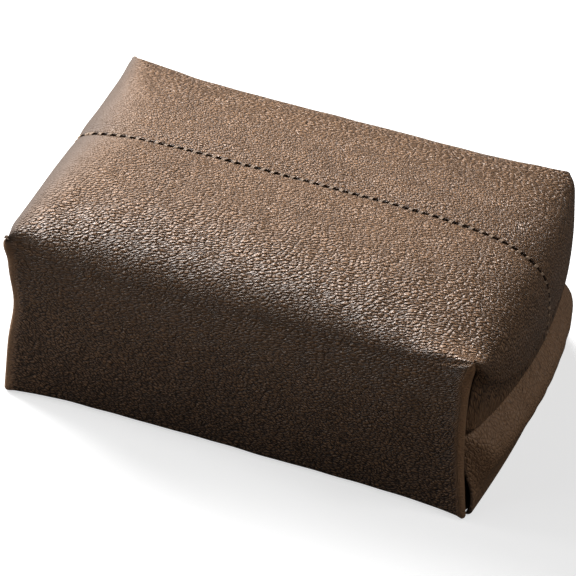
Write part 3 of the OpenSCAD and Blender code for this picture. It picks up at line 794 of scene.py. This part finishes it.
for end, word in ends:
    rows = np.concatenate([over_rows, 1 + hang_rows[end]])
    for side, half in halves:
        q, r = np.meshgrid(side * flap_q, rows, indexing="xy")
        P = ear_form(flap_face(end, q, r))
        top_row = crown(end * np.linspace(0, FOLD_SHARE, 200)[None, :], side * flap_q[:, None] * np.ones((1, 200)))
        drawn = smooth(r - 1)
        flat = np.stack([end * (run_length(top_row, 1)[:, -1] + run_length(P, 0) * (1 - 0.4 * drawn)),
                         -side * run_length(P, 1) * (1 + 0.35 * drawn)], -1)
        sy = np.abs(q)
        P[..., 2] += seam_lip(side, sy) * (r <= 1)
        drop = run_length(P, 0)
        hanging = smooth((r - 1) / 0.1)
        edge = np.minimum((sy * HALF_TOP - seam_half) * 1.6, drop[-1:] - drop)
        edge = np.minimum(edge, np.where(r > 1.0, (1 - sy) * HALF_TOP + 4 * (1 - hanging), FAR))
        pinch = ear_pinch(P, EAR_D / 2 - np.abs(P[..., 1]), EAR_H + 1) * hanging * 0.5
        grained = np.maximum(grain_on_top(P, q), hanging)
        coarse = seam_share(side, sy) * grained * (1 - 0.75 * smooth(r - 0.4))
        piece = leather_piece(f"{word}_upper_{half}_leather", P, None, edge, flip=(end * side < 0),
                              shift=soft_folds(P) * (1 - 0.5 * hanging) + pinch, flat=flat,
                              coarse=coarse, fine=mix(1, 0.36, coarse) * mix(0.1, 1, grained) * (1 - 0.5 * drawn),
                              stretch=(1 - grained) * (1 - hanging), low=0.45 * hanging)
        finish_piece(piece, f"{word}_upper_flap_{half}")
        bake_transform(piece)
    line_rows = np.linspace(0, 1.97, 600)
    p, f = along_curve(flap_face(end, 0 * line_rows, line_rows), 1.0, pitch)
    up = np.stack([-f[:, 2] * end, 0 * f[:, 0], f[:, 0] * end], -1)
    bars = thread_bars(f"{word}_flap_stitches", p - 0.1 * up, f, up)
    finish_piece(bars, f"{word}_flap_thread", (thread,))
    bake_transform(bars)
    tape_rows = np.concatenate([np.linspace(0, 1, 16), 1 + np.linspace(0.03, tape_down[end], 16)])
    behind = flap_face(end, *np.meshgrid(tape_y / (EAR_D / 2), tape_rows, indexing="xy"))
    tape = strip(behind, tape_depth, tape_t, f"{word}_flap_ribbon", round_edge=False)
    finish_piece(tape, f"{word}_flap_tape", (ribbon, ribbon))
    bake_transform(tape)

# Magnets and their keepers. A flexible magnet strip behind each upper flap meets a thin plated steel strip
# behind the lower flap. Both keep their CAD solids; each lies under a thin leather cover.
MAGNET_Z, MAGNET_L, MAGNET_H, COVER_MARGIN = 48.5, 28.0, 6.0, 1.5
UPPER_GAP = 2.2  # from the upper flap's inner side to the lower flap
patch_depth, patch_t = LEATHER_T + 1.16, 0.4
LOWER_PUFF = {1: 10.5, -1: 5.0}


def rubber_finish(name, light, dark):
    """Filled rubber: fine grains and a slow cloud."""
    material, shader, k = new_material(name, IOR=1.5)
    place = k.node("ShaderNodeTexCoord", out=3)
    grain = k.node("ShaderNodeTexNoise", Vector=place, Scale=2500.0, Detail=2.0)
    cloud = k.node("ShaderNodeTexNoise", Vector=place, Scale=90.0, Detail=2.0)
    bump = k.node("ShaderNodeBump", Height=grain, Distance=0.0001, Strength=0.5)
    feed(k, shader, Base_Color=(grain * 0.5 + cloud * 0.5).ease(0.2, 0.8).blend(dark, light),
         Roughness=0.6 + cloud * 0.15, Normal=bump)
    return material


def plated_finish(name, light, dark):
    """Zinc plated strip: rolling lines along its length and dull clouds."""
    material, shader, k = new_material(name, Metallic=1.0)
    place = k.node("ShaderNodeTexCoord", out=3)
    laid = k.node("ShaderNodeMapping", Vector=place, Scale=(30.0, 1.0, 30.0))
    lines = k.node("ShaderNodeTexNoise", Vector=laid, Scale=60.0, Detail=3.0)
    cloud = k.node("ShaderNodeTexNoise", Vector=place, Scale=150.0, Detail=3.0)
    bump = k.node("ShaderNodeBump", Height=lines, Distance=0.00005, Strength=0.4)
    feed(k, shader, Base_Color=(lines * 0.4 + cloud * 0.6).ease(0.2, 0.8).blend(dark, light),
         Roughness=0.3 + cloud * 0.25, Normal=bump)
    return material


magnet_rubber = rubber_finish("filled_rubber", (0.06, 0.058, 0.056), (0.03, 0.029, 0.028))
plated = plated_finish("plated_steel", (0.62, 0.62, 0.6), (0.42, 0.42, 0.42))


def lower_face(end, sy, z, turn):
    """Lower flap: out from the bowed bottom fold in a puff 4u(1-u), u = (t/0.94)^2.3, and in under the upper flap.

    The puff dies away over the last 6 mm before each side edge, which so lies behind the wall's rim."""
    t = np.clip((z - HEM_R) / (UPPER_EDGE_H - HEM_R), 0, 1)
    down = np.clip((SHOULDER_H[end] - np.maximum(z, UPPER_EDGE_H)) / (SHOULDER_H[end] - UPPER_EDGE_H), 0, 1)
    y = EAR_D / 2 * sy
    head = hang_reach(end, y, down) - LEATHER_T - UPPER_GAP
    side_in = smooth((np.abs(y) - 55) / 5.7)
    u = np.minimum(t / 0.94, 1) ** 2.3
    puff = LOWER_PUFF[end] * 4 * u * (1 - u) * (1 - np.abs(sy) ** 12) * (1 - 0.9 * side_in)
    x = mix(foot_reach(end, y), head, smooth(t ** 1.37)) + puff - HEM_R * (1 - np.cos(turn))
    x = x - 2.6 * side_in * smooth(t / 0.5)
    wide = y * (1 + 0.045 * (1 - smooth(t / 0.25)))
    return np.stack([end * x, wide, np.where(turn > 0, HEM_R * (1 - np.sin(turn)), z)], -1)


half_l, half_h = MAGNET_L / 2 + COVER_MARGIN, MAGNET_H / 2 + COVER_MARGIN
for end, word in ends:
    finish_node(f"{word}_magnet", magnet_rubber)
    finish_node(f"{word}_keeper", plated)
    y, z = np.meshgrid(with_edges(-half_l, half_l, 12), with_edges(MAGNET_Z - half_h, MAGNET_Z + half_h, 6))
    behind_upper = np.stack([end * end_reach(end, y / (EAR_D / 2), z), y, z], -1)
    behind_lower = lower_face(end, y / (EAR_D / 2), z, 0.0)
    for face, what, flap in ((behind_upper, "magnet", "upper"), (behind_lower, "keeper", "lower")):
        patch = strip(face, patch_depth, patch_t, f"{word}_{what}_patch")
        finish_piece(patch, f"{word}_{what}_cover", body=f"{word}_{flap}")

# Lower flaps. A wide tongue rises from each end of the base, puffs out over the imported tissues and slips
# behind the upper flap. It is soft, so it carries shallow upright creases.
lower_half_w, lower_top = CORNER_Y, 55.0
lower_y = np.concatenate([cut_rows, np.linspace(1.2, 2 * lower_half_w - 1.2, 90),
                          2 * lower_half_w - cut_rows[::-1]]) - lower_half_w
lower_z = np.concatenate([lower_top - cut_rows, np.linspace(lower_top - 1.2, HEM_R, 56)])
for end, word in ends:
    yy, zz = np.meshgrid(lower_y, lower_z, indexing="xy")
    yh, turn = np.meshgrid(lower_y, np.radians([18, 36, 54, 72, 90]), indexing="xy")
    P = np.concatenate([lower_face(end, yy / (EAR_D / 2), zz, 0 * zz),
                        lower_face(end, yh / (EAR_D / 2), HEM_R + 0 * yh, turn)])
    Y, Z = P[..., 1], P[..., 2]
    edge = np.minimum(lower_half_w - np.abs(np.concatenate([yy, yh])), lower_top - Z)
    belly = smooth(np.clip((Z - 6) / 30, 0, 1) * np.clip((46 - Z) / 10, 0, 1))
    crease = 0.22 * np.sin(Y / 2.3 + 1.3 * np.sin(Z / 9) + 2 * np.sin(Y / 17)) * np.sin(Z / 11 + Y / 13) * belly
    flat = np.stack([1.35 * run_length(P, 1), 0.55 * run_length(P, 0) + 150], -1)
    piece = leather_piece(f"{word}_lower_leather", P, None, edge, flip=(end < 0), shift=crease, flat=flat,
                          coarse=0.15, fine=0.38, stretch=0.0, low=0.6)
    finish_piece(piece, f"{word}_lower_flap")
    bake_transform(piece)

# Side tucks. The surplus leather of each corner folds inward behind the two flaps as a thin flat panel
# with slanted ends.
TUCK_X, TUCK_Y, TUCK_W, TUCK_LOW, TUCK_HIGH = 91.6, CORNER_Y, 34.0, 2.5, 85.5
tuck_h = TUCK_HIGH - TUCK_LOW
for end, word in ends:
    for side, half in halves:
        u = np.concatenate([cut_rows, np.linspace(1.2, TUCK_W - 1.2, 26), TUCK_W - cut_rows[::-1]]) / TUCK_W
        v = np.concatenate([cut_rows, np.linspace(1.2, tuck_h - 1.2, 50), tuck_h - cut_rows[::-1]]) / tuck_h
        uu, vv = np.meshgrid(u, v, indexing="xy")
        low, high = TUCK_LOW + uu * TUCK_W, TUCK_HIGH - uu * TUCK_W
        P = np.stack([end * TUCK_X + 0 * uu, side * (TUCK_Y - uu * TUCK_W), mix(low, high, vv)], -1)
        edge = np.minimum(np.minimum(uu, 1 - uu) * TUCK_W, np.minimum(vv, 1 - vv) * (high - low) * 0.7)
        piece = leather_piece(f"{word}_{half}_tuck_leather", P, None, edge, flip=(end * side < 0),
                              coarse=0.2, fine=0.8, stretch=0.0, low=0.8)
        finish_piece(piece, f"{word}_{half}_tuck", body=f"{word}_{half}_side")

# Floor, light and camera. A pale sheet runs under the cover and keeps its shadow. A broad key lamp stands behind
# the left end, a small one lights that end, a weak one fills the front and one grazes the right end's flaps.
# The camera has the photograph's direction and distance.
floor_mesh = bpy.data.meshes.new("floor")
floor_mesh.from_pydata([(-3, -3, 0), (3, -3, 0), (3, 3, 0), (-3, 3, 0)], [], [(0, 1, 2, 3)])
floor = add_object("floor", floor_mesh)
floor.location.z = -0.0004  # just below the hem, whose soft folds reach 0.31 mm under the part's zero plane
paper, shader, k = new_material("pale_paper", Roughness=0.9)
place = k.node("ShaderNodeTexCoord", out=3)
mottle = k.node("ShaderNodeTexNoise", Vector=place, Scale=40.0, Detail=3.0)
ray = k.tree.nodes.new("ShaderNodeLightPath")
seen, mirrored = Value(k.tree, ray.outputs["Is Camera Ray"]), Value(k.tree, ray.outputs["Is Glossy Ray"])
bounced = mirrored.blend((0.2, 0.17, 0.14), (0.03, 0.03, 0.03))
feed(k, shader, Base_Color=seen.blend(bounced, (0.5, 0.5, 0.5)), Roughness=0.85 + mottle * 0.1,
     Emission_Color=seen.blend((0, 0, 0), (0.62, 0.62, 0.62)))
shader.inputs["Emission Strength"].default_value = 1.0
floor_mesh.materials.append(paper)

world = bpy.data.worlds.new("studio")
bpy.context.scene.world = world
world.use_nodes = True
tree = world.node_tree
back, path = tree.nodes["Background"], tree.nodes.new("ShaderNodeLightPath")
seen, mirrored = Value(tree, path.outputs["Is Camera Ray"]), Value(tree, path.outputs["Is Glossy Ray"])
bright = seen.sum("MAXIMUM", seen, mirrored * 0.05)
bright = seen.sum("MAXIMUM", bright, 0.042)
tree.links.new(bright.socket, back.inputs["Strength"])
back.inputs["Color"].default_value = (1, 1, 1, 1)

for name, place, aim, size, watts in (("key", (-0.87, 0.52, 0.86), (0, 0, 0.06), 0.75, 44.0),
                                      ("side", (-1.01, -0.14, 0.47), (0, 0, 0.06), 0.3, 3.5),
                                      ("fill", (-0.43, -0.36, 1.12), (0, 0, 0.06), 0.35, 1.2),
                                      ("rim", (0.62, 0.0, 0.95), (0.1, 0, 0.04), 0.2, 2.6)):
    data = bpy.data.lights.new(name, "AREA")
    data.shape, data.size, data.size_y, data.energy = "RECTANGLE", size, size, watts
    light = add_object(name, data)
    light.location = place
    light.rotation_euler = (Vector(aim) - Vector(place)).to_track_quat("-Z", "Y").to_euler()

az, el, roll, distance = np.radians(20.297), np.radians(40.451), np.radians(1.424), 1.2021
focus_px, target = 2775.6, np.array([-0.001191 + middle_x, 0.000446, 0.039386])
backward = np.array([np.sin(az) * np.cos(el), -np.cos(az) * np.cos(el), np.sin(el)])
right = np.array([np.cos(az), np.sin(az), 0.0])
upward = np.cross(backward, right)
image_x, image_y = np.cos(roll) * right + np.sin(roll) * upward, -np.sin(roll) * right + np.cos(roll) * upward
camera_data = bpy.data.cameras.new("camera")
camera_data.lens, camera_data.sensor_width, camera_data.clip_end = focus_px / 576 * 36, 36, 20
camera = add_object("camera", camera_data)
turn_to = np.eye(4)
turn_to[:3] = np.stack([image_x, image_y, backward, target + backward * distance], -1)
camera.matrix_world = Matrix(turn_to.tolist())
bpy.context.scene.camera = camera
bpy.context.scene.view_settings.view_transform = "Standard"
